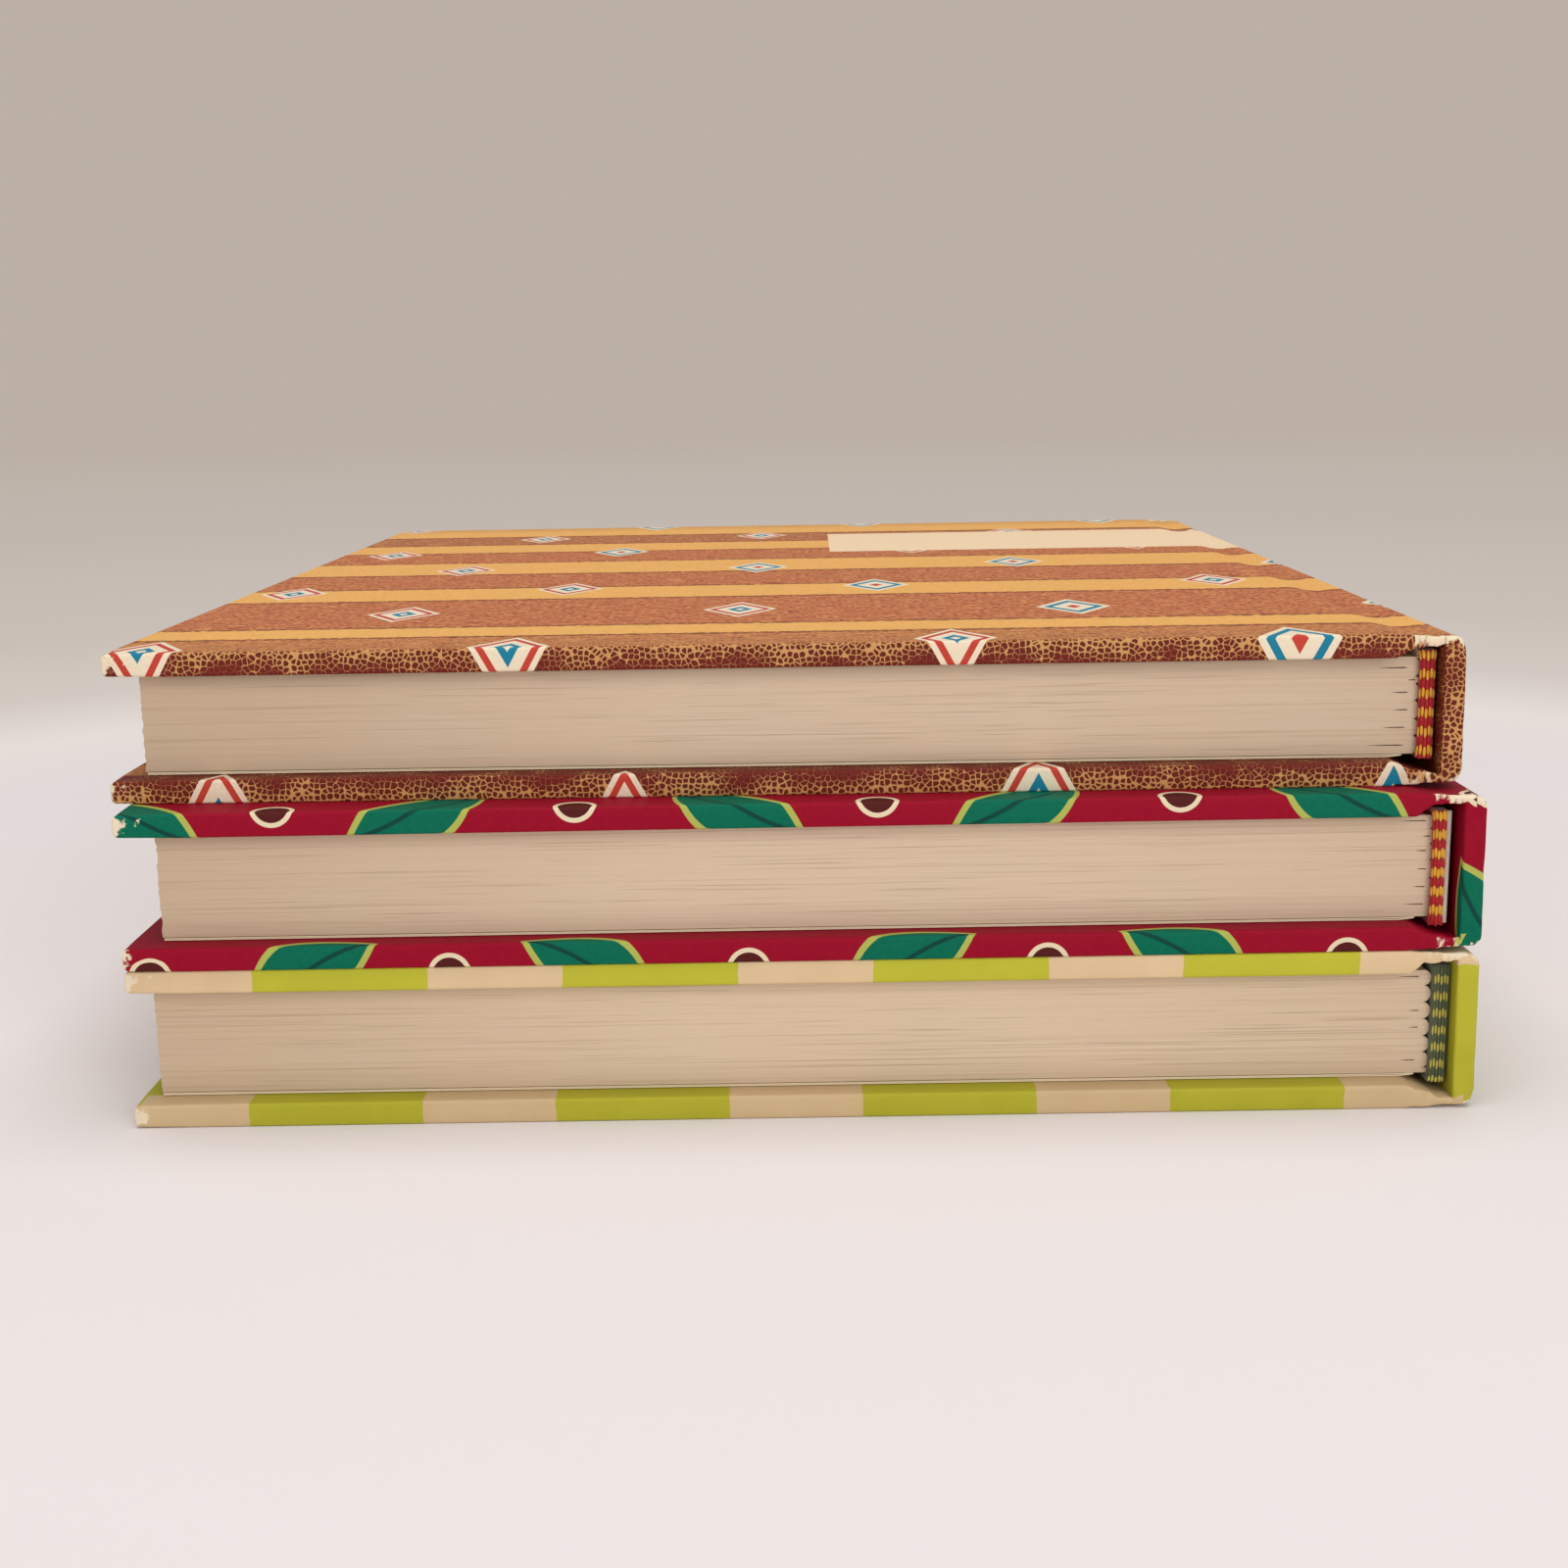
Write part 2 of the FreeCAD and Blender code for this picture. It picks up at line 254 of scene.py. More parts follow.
def speckled_paper(name):
    """Offset-printed cover paper, matt: the eye gets flat ink, fine specks and no gloss."""
    made, add, shader = start_material(name, roughness=0.62)
    sheet = add("UVMap", uv_map=SHEET)
    across = add("SeparateXYZ", [sheet], out="X")
    down = add("SeparateXYZ", [sheet], out="Y")

    # Stripes along the book; their borders waver and are ragged, by about a millimetre
    waver = add("TexNoise", {"Vector": sheet, "Scale": 0.22, "Detail": 2.0})
    ragged = add("TexNoise", {"Vector": sheet, "Scale": 1.8, "Detail": 1.0})
    down_wavered = add("Math.MULTIPLY_ADD", [waver, 1.0, down])
    down_wavered = add("Math.MULTIPLY_ADD", [ragged, 2.4, down_wavered])
    place = add("Math.SUBTRACT", [down_wavered, 1.7])
    place = add("Math.DIVIDE", [place, SHEET_HEIGHT])
    ochre, rust, brown, tan = "#E3AA5A", "#B8653B", "#A2633A", "#BE7A40"
    borders = ((0, tan), (12, ochre), (23, rust), (57.5, ochre), (75.5, rust), (99, ochre),
               (122, rust), (143.6, ochre), (162.5, brown), (183, ochre))
    stripes = add("ValToRGB", [place], steps="CONSTANT",
                  stops=[(border / SHEET_HEIGHT, colour) for border, colour in borders])

    # Streaks 4 mm long and 0.4 mm high, strong in the rust stripes and weak in the ochre ones
    stretched = add("Mapping", {"Vector": sheet, "Scale": (0.25, 2.5, 1.0)})
    streaks = add("TexNoise", {"Vector": stretched, "Scale": 1.0, "Detail": 3.0})
    grains = add("TexNoise", {"Vector": sheet, "Scale": 1.3, "Detail": 3.0})
    mottle = add("Math.ADD", [streaks, grains])
    weak, strong = (0.25, 0.25, 0.25, 1.0), (1.0,) * 4
    in_rust = add("ValToRGB", [place], steps="CONSTANT",
                  stops=[(border / SHEET_HEIGHT, weak if colour == ochre else strong)
                         for border, colour in borders])
    ink = stripes
    for end, tone in ((1.16, "#CB8B54"), (0.86, "#8E4228")):
        share = add("MapRange", [mottle, 1.0, end])
        share = add("Math.MULTIPLY", [share, in_rust])
        ink = add("Mix", [share, ink, tone])

    # A dashed dark line up to 1.6 mm wide on the borders of the stripes
    near = []
    for border, colour in borders[1:]:
        near += [((border + aside) / SHEET_HEIGHT, (share,) * 4)
                 for aside, share in ((-2.0, 0), (0.0, 1), (2.0, 0))]
    even = add("Math.DIVIDE", [down, SHEET_HEIGHT])
    line = add("ValToRGB", [even], stops=near)
    dashes = add("Mapping", {"Vector": sheet, "Scale": (0.8, 1.6, 1.0)})
    dashes = add("TexNoise", {"Vector": dashes, "Scale": 1.0, "Detail": 1.0})
    line = add("Math.MULTIPLY", [line, dashes])
    line = add("MapRange", [line, 0.28, 0.36, 0.0, 0.85])
    ink = add("Mix", [line, ink, "#70301C"])

    # Round dark specks 0.75 mm apart in a pale net, along the head and the tail; in places the
    # specks grow and run together, and towards the turned-in edge they run together more, partly as
    # print and partly as painted shade inside the case
    bent = add("TexNoise", {"Vector": sheet, "Scale": 1.6, "Detail": 2.0}, out="Color")
    bent = add("VectorMath.MULTIPLY_ADD", [bent, (0.3, 0.3, 0.0), sheet])
    cells, centres = (add("TexVoronoi", {"Vector": bent, "Scale": 1.35, "Randomness": 0.8},
                          feature=feature, voronoi_dimensions="2D")
                      for feature in ("DISTANCE_TO_EDGE", "F1"))
    merge = add("TexNoise", {"Vector": sheet, "Scale": 0.2, "Detail": 4.0, "Roughness": 0.65})
    from_middle = add("Math.SUBTRACT", [down, SHEET_HEIGHT / 2])
    from_middle = add("Math.ABSOLUTE", [from_middle])
    # Partly painted shade: beyond the head and tail the specks merge more, on the rims and the
    # turned-in paper inside
    deep = add("MapRange", [from_middle, 103.5, 106.0, 0.0, 0.22])
    merge = add("Math.ADD", [merge, deep])
    lines = add("MapRange", [merge, 0.45, 0.8, 0.14, -0.02])
    speck = add("Math.SUBTRACT", [cells, lines])
    size = add("MapRange", [merge, 0.45, 0.8, 0.46, 0.9])
    rounded = add("Math.SUBTRACT", [size, centres])
    speck = add("Math.MINIMUM", [speck, rounded])
    speck = add("MapRange", [speck, -0.04, 0.05])
    maroon = add("MapRange", [merge, 0.4, 0.75])
    maroon = add("Mix", [maroon, "#58200C", "#681A12"])
    net = add("Mix", [speck, "#C08B56", maroon])
    rim = add("MapRange", [from_middle, 102.6, 103.1])
    faint = add("MapRange", [from_middle, 91.0, 103.0, 0.0, 0.4])
    faint = add("Math.MAXIMUM", [faint, rim])
    ink = add("Mix", [faint, ink, net])

    # Small concentric lozenges in half-drop, each a few millimetres off its place, with one of
    # two sets of ring colours
    pitch = LOZENGE_PITCH
    tiles = add("Mapping", {"Vector": sheet, "Scale": (1 / pitch[0], 1 / pitch[1], 1.0),
                            "Location": (0.33, 0.42, 0.0)})
    row = add("SeparateXYZ", [tiles], out="Y")
    row = add("Math.FLOOR", [row])
    shift = add("CombineXYZ", {"X": add("Math.MULTIPLY", [row, 0.5])})
    tiles = add("VectorMath.ADD", [tiles, shift])
    whole = add("VectorMath.FLOOR", [tiles])
    chance = add("TexWhiteNoise", [whole], out="Color", noise_dimensions="2D")
    tiles = add("VectorMath.SUBTRACT", [tiles, whole])
    jitter = add("VectorMath.MULTIPLY_ADD", [chance, (0.2, 0.2, 0.0), (-0.6, -0.6, 0.0)])
    tiles = add("VectorMath.ADD", [tiles, jitter])
    tiles = add("VectorMath.ABSOLUTE", [tiles])
    half_width, half_height = 5.2, 9.5
    reach = (pitch[0] / half_width, pitch[1] / half_height, 0.0)
    reach = add("VectorMath.DOT_PRODUCT", [tiles, reach], out="Value")
    cream, teal, red = "#DFCFB4", "#0F7590", "#B93A2E"
    cool = ((0, red), (0.2, cream), (0.58, teal), (0.8, cream))
    warm = ((0, cream), (0.14, teal), (0.34, cream), (0.66, red), (0.84, cream))
    cool, warm = (add("ValToRGB", [reach], steps="CONSTANT", stops=stops) for stops in (cool, warm))
    kind = add("SeparateXYZ", [chance], out="Z")
    kind = add("Math.GREATER_THAN", [kind, 0.5])
    rings = add("Mix", [kind, cool, warm])
    inside = add("Math.LESS_THAN", [reach, 1.0])
    ink = add("Mix", [inside, ink, rings])

    # The bare panel, from 91.5 mm off the fore-edge to over the spine, and 43 mm high
    within = add("Math.COMPARE", [across, 138.75, 47.25])
    panel = add("Math.COMPARE", [down, 156.5, 21.5])
    panel = add("Math.MULTIPLY", [panel, within])
    ink = add("Mix", [panel, ink, "#E6C9A4"])
    add_wear(add, shader, sheet, ink, speck, "#DFCDAE")
    return made


def leaf_print_paper(name):
    """Offset-printed cover paper with a slight varnish: deep flat ink and a soft sheen."""
    made, add, shader = start_material(name, roughness=0.55, specular=0.08)
    sheet = add("UVMap", uv_map=SHEET)
    halftone = add("TexNoise", {"Vector": sheet, "Scale": 1.4, "Detail": 3.0})
    crimson = add("Mix", [halftone, "#84061F", "#970C29"])

    # One pointed leaf to a tile, tilted by turns to the left and to the right
    tiles = add("Mapping", {"Vector": sheet, "Scale": (1 / LEAF_TILE[0], 1 / LEAF_TILE[1], 1.0),
                            "Location": (0.473, 0.47, 0.0)})
    whole = add("VectorMath.FLOOR", [tiles])
    turn = add("VectorMath.DOT_PRODUCT", [whole, (1.0, 1.0, 0.0)], out="Value")
    turn = add("Math.FLOORED_MODULO", [turn, 2.0])
    side = add("Math.MULTIPLY_ADD", [turn, 2.0, -1.0])
    tiles = add("VectorMath.SUBTRACT", [tiles, whole])
    tiles = add("VectorMath.SUBTRACT", [tiles, (0.5, 0.5, 0.0)])
    mirrored = add("CombineXYZ", {"X": side, "Y": 1.0, "Z": 0.0})
    tiles = add("VectorMath.MULTIPLY", [tiles, mirrored])
    tiles = add("VectorMath.MULTIPLY", [tiles, (*LEAF_TILE, 0.0)])
    leaf = add("Mapping", {"Vector": tiles, "Rotation": (0.0, 0.0, math.radians(52))})
    leaf_across = add("SeparateXYZ", [leaf], out="X")
    leaf_along = add("SeparateXYZ", [leaf], out="Y")
    bent = add("Math.MULTIPLY", [leaf_along, leaf_along])
    bent = add("Math.MULTIPLY_ADD", [bent, 0.022, leaf_across])
    aside = add("Math.ABSOLUTE", [bent])
    tip = add("Math.MULTIPLY", [leaf_along, 1 / 10.5])
    tip = add("Math.POWER", [tip, 2.0])
    body = add("Math.MULTIPLY_ADD", [aside, 1 / 5.2, tip])
    green = add("Mix", [halftone, "#025A45", "#076B50"])
    vein = add("Math.LESS_THAN", [aside, 0.28])
    green = add("Mix", [vein, green, "#0B4038"])
    blade = add("Math.LESS_THAN", [body, 0.84])
    edged = add("Mix", [blade, "#A4AA50", green])
    inside = add("Math.LESS_THAN", [body, 1.0])
    ink = add("Mix", [inside, crimson, edged])

    # A dark berry 5.4 mm wide with a pale rim, between the leaves
    dots = add("VectorMath.ABSOLUTE", [tiles])
    dots = add("VectorMath.DISTANCE", [dots, (LEAF_TILE[0] / 2, 0.0, 0.0)], out="Value")
    rim = add("Math.GREATER_THAN", [dots, 2.1])
    rings = add("Mix", [rim, "#4E1C1A", "#D9C8A8"])
    dot = add("Math.LESS_THAN", [dots, 2.7])
    ink = add("Mix", [dot, ink, rings])
    add_wear(add, shader, sheet, ink, halftone, "#DFCEB2")
    return made


def striped_paper(name):
    """Offset-printed cover paper, matt and a little soiled: two flat tones in broad bands."""
    made, add, shader = start_material(name, roughness=0.62)
    sheet = add("UVMap", uv_map=SHEET)
    along = add("SeparateXYZ", [sheet], out="X")
    waver = add("TexNoise", {"Vector": sheet, "Scale": 0.5, "Detail": 3.0})
    across = add("Math.MULTIPLY_ADD", [waver, 0.5, along])

    # Lime bands, the first one centred 27 mm from the fore-edge
    place = add("Math.MULTIPLY_ADD", [across, 1 / LIME_PITCH, 0.5 - 27.0 / LIME_PITCH])
    place = add("Math.FRACT", [place])
    lime_here = add("Math.COMPARE", [place, 0.5, LIME_WIDTH / LIME_PITCH / 2])
    soil = add("TexNoise", {"Vector": sheet, "Scale": 0.13, "Detail": 4.0})
    lime = add("Mix", [soil, "#B9B534", "#A9A62A"])
    flecks = add("TexNoise", {"Vector": sheet, "Scale": 1.7, "Detail": 3.0})
    cream = add("Mix", [soil, "#D8BD96", "#C8AC84"])
    ink = add("Mix", [lime_here, cream, lime])
    # The spine and the back cover, beyond 168 mm, are darkened towards olive as painted shade
    painted_shade_spine_back = add("MapRange", [along, 166.0, 190.0, 0.0, 0.22])
    ink = add("Mix", [painted_shade_spine_back, ink, "#8F8220"], blend_type="MULTIPLY")
    add_wear(add, shader, sheet, ink, flecks, "#DCCBAE")
    return made


def leaf_edges(name):
    """Uncoated book paper, cut: thin lines of leaves, a little darker outside, and with painted
    shade near the lower boards.

    Real leaves are 0.1 mm thick. Lines 0.2 mm apart are drawn, as finer ones don't show.
    """
    made, add, shader = start_material(name, roughness=0.85)
    point = add("TexCoord", out="Object")
    lines = add("Mapping", {"Vector": point, "Scale": (8.0, 8.0, 4.8 / MM)})
    lines = add("TexNoise", {"Vector": lines, "Scale": 1.0, "Detail": 2.0, "Roughness": 0.6})
    patches = add("Mapping", {"Vector": point, "Scale": (22.0, 22.0, 0.26 / MM)})
    patches = add("TexNoise", {"Vector": patches, "Scale": 1.0, "Detail": 3.0})
    blotch = add("TexNoise", {"Vector": point, "Scale": 0.07 / MM, "Detail": 3.0})
    tone = add("MapRange", [lines, 0.3, 0.7])
    colour = add("Mix", [tone, "#CDB59A", "#D8C3AA"])
    colour = add("Mix", [blotch, colour, "#D1BAA0"])
    thin = add("MapRange", [lines, 0.4, 0.34])
    there = add("MapRange", [patches, 0.46, 0.66, 0.0, 0.55])
    thin = add("Math.MULTIPLY", [thin, there])
    colour = add("Mix", [thin, colour, "#8F775C"])
    cuts = add("Mapping", {"Vector": point, "Scale": (45.0, 45.0, 5.2 / MM)})
    cuts = add("TexNoise", {"Vector": cuts, "Scale": 1.0, "Detail": 2.0})
    cuts = add("MapRange", [cuts, 0.39, 0.33, 0.0, 0.35])
    colour = add("Mix", [cuts, colour, "#93795C"])
    # The leaves are browner and darker from the fore-edge inwards, and a little at the spine
    along = add("SeparateXYZ", [point], out="X")
    along = add("MapRange", [along, -85 * MM, 85 * MM])
    darker_towards_edges = add("ValToRGB", [along], stops=((0.03, (0.52,) * 4), (0.42, (0.0,) * 4),
                                              (0.68, (0.0,) * 4), (0.95, (0.22,) * 4)))
    colour = add("Mix", [darker_towards_edges, colour, "#B0977C"])
    # The books are about 20.1 mm thick; the lowest leaves of each block, above the lower boards,
    # get painted shade
    height = add("SeparateXYZ", [point], out="Z")
    height = add("Math.SUBTRACT", [height, 3.0 * MM])
    height = add("Math.FLOORED_MODULO", [height, 20.1 * MM])
    painted_shade_low = add("MapRange", [height, 0.5 * MM, 4.0 * MM, 0.4, 0.0])
    colour = add("Mix", [painted_shade_low, colour, "#B0977C"])
    give_surface(add, shader, colour, lines, 0.06 * MM)
    return made


def endpaper_stock(name):
    """Uncoated endpaper: a warm off-white with faint fibres."""
    made, add, shader = start_material(name, roughness=0.85)
    point = add("TexCoord", out="Object")
    fibres = add("TexNoise", {"Vector": point, "Scale": 0.7 / MM, "Detail": 4.0})
    tone = add("TexNoise", {"Vector": point, "Scale": 0.025 / MM, "Detail": 3.0})
    colour = add("Mix", [tone, "#D3BD99", "#DFCDB0"])
    give_surface(add, shader, colour, fibres, 0.03 * MM, 0.5)
    return made


def greyboard_stock(name):
    """Bookbinder's greyboard, pressed waste paper: grey-brown with light and dark fibres."""
    made, add, shader = start_material(name, roughness=0.9)
    point = add("TexCoord", out="Object")
    fibres = add("TexNoise", {"Vector": point, "Scale": 0.9 / MM, "Detail": 4.0, "Roughness": 0.7})
    colour = add("Mix", [fibres, "#7F7566", "#A59A88"])
    give_surface(add, shader, colour, fibres, 0.05 * MM)
    return made


def mull_cloth(name):
    """Starched open cotton with paper on it: an off-white weave that shows its threads."""
    made, add, shader = start_material(name, roughness=0.85)
    point = add("TexCoord", out="Object")
    apart = 0.6 * MM
    warp, weft = (add("TexWave", {"Vector": point, "Scale": 1 / apart / math.tau,
                                  "Distortion": 0.3}, out="Fac", bands_direction=axis)
                  for axis in "YZ")
    weave = add("Math.MAXIMUM", [warp, weft])
    colour = add("Mix", [weave, "#A8977C", "#D8C9AE"])
    give_surface(add, shader, colour, weave, 0.1 * MM)
    return made


def band_silk(name, core_hex, float_hex, side_hex):
    """Artificial silk, woven: bright floats with a soft sheen on a darker ground."""
    made, add, shader = start_material(name, roughness=0.5)
    shader.inputs["Sheen Weight"].default_value = 0.3
    thread = add("Attribute", out="Fac", attribute_name=THREAD)
    point = add("TexCoord", out="Object")
    strands = add("Mapping", {"Vector": point, "Scale": (14 / MM, 14 / MM, 0.9 / MM)})
    strands = add("TexNoise", {"Vector": strands, "Scale": 1.0, "Detail": 2.0})
    colour = add("ValToRGB", [thread], steps="CONSTANT",
                 stops=[(0.0, side_hex), (0.3, core_hex), (0.7, float_hex)])
    shade = add("MapRange", [strands, 0.3, 0.7, 0.72, 1.1])
    colour = add("VectorMath.MULTIPLY", [colour, shade])
    give_surface(add, shader, colour, strands, 0.05 * MM)
    return made


def warm_silk(name):
    """The red and yellow band."""
    return band_silk(name, "#AE1219", "#E0A42E", "#D8C9B8")


def grey_silk(name):
    """The grey-green band with yellow floats."""
    return band_silk(name, "#525B3E", "#BDB04A", "#5A6346")


def read_books(context):
    """The three books of the stack, with their sizes in millimetres."""
    case = context.scene.book_case
    spine = case.spine_thickness / MM
    width = case.width / MM
    books = []
    for traits, yaw in zip(TRAITS, case.yaw):
        boxes = [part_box(node) for node in traits.nodes]
        low, high = boxes[0]
        top = max(box[1].z for box in boxes)
        shift = (low + high) / 2
        back = width - spine - traits.hollow - traits.bead_width
        measured = low.z / MM, (top - low.z) / MM, (shift.x / MM, shift.y / MM), yaw, back
        books.append(Book(*traits, *measured))
    return books


def place(book, case):
    """The matrix from a book's own frame, in millimetres, to its place in the stack, in metres."""
    centre = Matrix.Translation((-case.width / MM / 2, -case.height / MM / 2, 0))
    moved = Matrix.Translation((book.shift[0], book.shift[1], book.base))
    return Matrix.Scale(MM, 4) @ moved @ Matrix.Rotation(book.yaw, 4, "Z") @ centre


def finish_piece(bm, name, matrix, material, nodes, body="root", smooth=40):
    """Put a piece in its place, make it an object with its material, and tell the frame of it."""
    bm.normal_update()
    bm.transform(matrix)
    mesh = bpy.data.meshes.new(name)
    bm.to_mesh(mesh)
    bm.free()
    mesh.shade_smooth()
    mesh.set_sharp_from_angle(angle=math.radians(smooth))
    mesh.materials.append(material)
    piece = bpy.data.objects.new(name, mesh)
    bpy.context.scene.collection.objects.link(piece)
    if body:
        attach(piece, body)
    if nodes:
        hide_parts(*nodes)
    return piece


def pull(bm, way, faces=(), edges=()):
    """Extrude faces or loose edges by a vector."""
    if faces:
        made = bmesh.ops.extrude_face_region(bm, geom=faces)
    else:
        made = bmesh.ops.extrude_edge_only(bm, edges=edges)
    moved = [item for item in made["geom"] if isinstance(item, bmesh.types.BMVert)]
    bmesh.ops.translate(bm, verts=moved, vec=way)


def section_solid(corners, depth):
    """A prism along y over a section given by its corners in x and z."""
    bm = bmesh.new()
    face = bm.faces.new([bm.verts.new((x, 0.0, z)) for x, z in corners])
    pull(bm, (0.0, depth, 0.0), faces=[face])
    bmesh.ops.recalc_face_normals(bm, faces=bm.faces)
    return bm


def bevel(bm, geometry, radius, segments, affect="EDGES"):
    """Round edges, or the corners of a flat outline."""
    bmesh.ops.bevel(bm, geom=geometry, offset=radius, offset_type="OFFSET", segments=segments,
                    profile=0.5, affect=affect, clamp_overlap=True, material=-1)


def round_corners(bm, corners, radius, segments):
    """Round the long edges of a prism that stand at these corners of its section."""
    edges = []
    for edge in bm.edges:
        one, two = (vert.co for vert in edge.verts)
        if abs(one.y - two.y) > 1.0:
            if any(math.hypot(one.x - x, one.z - z) < 0.01 for x, z in corners):
                edges.append(edge)
    bevel(bm, edges, radius, segments)


def cut_at(bm, axis, places):
    """Cut every face where it crosses planes at these places along an axis."""
    normal = Vector((axis == "x", axis == "y", axis == "z")).to_3d()
    for where in places:
        bmesh.ops.bisect_plane(bm, geom=bm.verts[:] + bm.edges[:] + bm.faces[:], dist=1e-4,
                               plane_co=normal * where, plane_no=normal)


def steps(first, last, count):
    """Evenly spaced places from first to last, both included."""
    return [first + (last - first) * index / (count - 1) for index in range(count)]


def case_places(case):
    """The places of a case's joints along x, in millimetres."""
    width = case.width / MM
    shoulder = width - case.spine_thickness / MM
    board_back = shoulder - case.joint_width / MM
    return width, shoulder, (shoulder + board_back) / 2, board_back


def cover_half(book, case, upper):
    """The corners of one cover and its joint in section, from the shoulder to the fore-edge and
    back along the inside, for the upper or the lower cover."""
    shoulder, groove, board_back = case_places(case)[1:]
    drop, sunk = case.spine_drop / MM, case.groove_depth / MM
    paper, cover = case.doubled_paper / MM, case.cover_thickness / MM
    slope = 1.3 if upper else 3.2
    outside = [(shoulder, drop), (groove, sunk), (board_back, 0.0), (0.0, 0.0)]
    inside = [(0.0, cover), (board_back + 0.25, cover),
              (board_back + 0.25 + slope, sunk + paper + 0.1), (shoulder, drop + paper)]
    corners = outside + inside
    if upper:
        return [(x, book.thickness - z) for x, z in corners]
    return corners


def soften_cover(bm, book, case, upper):
    """Round the long corners of one cover and of its joint."""
    half = cover_half(book, case, upper)
    round_corners(bm, [half[3], half[4]], 0.7, 4)
    round_corners(bm, [half[2]], 0.7, 4)
    round_corners(bm, [half[1]], 1.3, 4)
    round_corners(bm, [half[5], half[6]], 0.45, 3)


def round_rims(bm, case, radius):
    """Round the rims of the sheet at head and tail, and cut it fine enough to be crumpled."""
    height = case.height / MM
    edges = [edge for edge in bm.edges
             if all(abs(vert.co.y) < 1e-4 for vert in edge.verts)
             or all(abs(vert.co.y - height) < 1e-4 for vert in edge.verts)]
    bevel(bm, edges, radius, 3)
    width, _, _, board_back = case_places(case)
    ends = [0.9, 1.5, 2.2, 3.0, 4.0, 5.2, 7.0, 9.5, 13.0, 18.0]
    cut_at(bm, "y", ends + [height - end for end in ends] + steps(30, height - 30, 7))
    cut_at(bm, "x", steps(8, board_back - 9, 14) + [board_back - 6, board_back - 4]
           + steps(board_back - 2.5, width - 0.4, 24))


def ease(value, low, high):
    """0 below low, 1 above high and a smooth step between."""
    share = min(max((value - low) / (high - low), 0.0), 1.0)
    return share * share * (3 - 2 * share)


def crumple(bm, book, case):
    """Pucker the turned-in paper at both ends of the joints and the spine, and blunt the boards'
    corners; mark how worn each place is."""
    width, shoulder, groove, board_back = case_places(case)
    height = case.height / MM
    wear = bm.verts.layers.float.new(WEAR)
    for vert in bm.verts:
        x, y, z = vert.co
        end = min(y, height - y)
        seed = book.seed + (0.0 if y < height / 2 else 50.0)
        upper = z > book.thickness / 2
        off_face = book.thickness - z if upper else z
        at_joint = ease(x, board_back - 1.0, board_back + 1.5)
        thin = at_joint * (1 - ease(off_face, 2.0, 3.4))
        inner = ease(off_face, 0.9, 1.3)
        near = math.exp(-end / 2.6)
        pucker = noise.noise(Vector((x / 2.1, z / 4.0, seed)))
        ripple = noise.noise(Vector((x / 0.8, z / 1.1, seed + 9)))
        inward = -1 if upper else 1
        # The outer side is filled up at the very end, and the inner side hangs unevenly
        lift = 0.45 * math.exp(-((x - groove) / 1.8) ** 2) * math.exp(-end / 1.5) * (1 - inner)
        sag = inner * (0.15 + 0.55 * pucker + 0.25 * ripple)
        vert.co.z += inward * thin * (near * (sag + 0.12 * ripple) - lift)
        side = 1 if y < height / 2 else -1
        vert.co.y += side * at_joint * math.exp(-end / 1.2) * max(-0.1, 0.35 * pucker
                                                                 + 0.2 * ripple)
        corner = math.exp(-(x / 3.0) ** 2 - (end / 3.0) ** 2) * (off_face < 3.2)
        vert.co.z += inward * corner * 0.12 * (1 if off_face < 1.5 else -1)
        strip = RUBBED[book.name] * at_joint * (1 - ease(off_face, 1.2, 2.5))
        if x > shoulder - 0.4:
            strip *= 1 - ease(off_face, 1.2, 1.8)
        strip -= 0.0 if upper else 0.08
        vert[wear] = max(strip * math.exp(-(end / 2.8) ** 2),
                         0.58 * math.exp(-(x / 1.2) ** 2 - (end / 1.2) ** 2)
                         * (off_face < 3.2),
                         0.3 * ease(x, width - 1.6, width - 0.4)
                         * (1 - ease(off_face, 1.2, 2.2)))


def unroll(bm, book, case):
    """Give each face its place on the flat sheet, in millimetres: across from the front cover's
    fore-edge over the spine to the back cover's, and down from the head."""
    width, shoulder = case_places(case)[:2]
    height = case.height / MM
    thickness = book.thickness
    cover = case.cover_thickness / MM
    layer = bm.loops.layers.uv.new(SHEET)
    for face in bm.faces:
        middle, normal = face.calc_center_median(), face.normal
        front = middle.z > thickness / 2
        off_face = min(middle.z, thickness - middle.z)
        on_spine = (middle.x > width - 1.4 or abs(normal.x) > 0.7) and middle.x > shoulder - 0.1
        on_spine = on_spine or (middle.x > shoulder and off_face > 1.6)
        inward = -normal.z if front else normal.z
        turned_in = inward > 0.5 and off_face > 0.6 or on_spine and normal.x < -0.7
        at_head = middle.y < height / 2
        for loop in face.loops:
            x, y, z = loop.vert.co
            if on_spine:
                across, depth = width + thickness - z, width - x
            elif front:
                across, depth = x, thickness - z
            else:
                across, depth = 2 * width + thickness - x, z
            end = y if at_head else height - y
            if turned_in and middle.x < 8.0 and middle.x < min(middle.y, height - middle.y):
                reach = cover + x
                across = -reach if front else 2 * width + thickness + reach
            elif turned_in:
                end = -depth - end
            elif on_spine or abs(normal.y) > abs(normal.x):
                end -= depth
            elif middle.x < 1.0:
                across = -depth if front else 2 * width + thickness + depth
            if not front and not on_spine:
                across += PRINT_OFFSET[book.name]
            loop[layer].uv = (across, end if at_head else height - end)


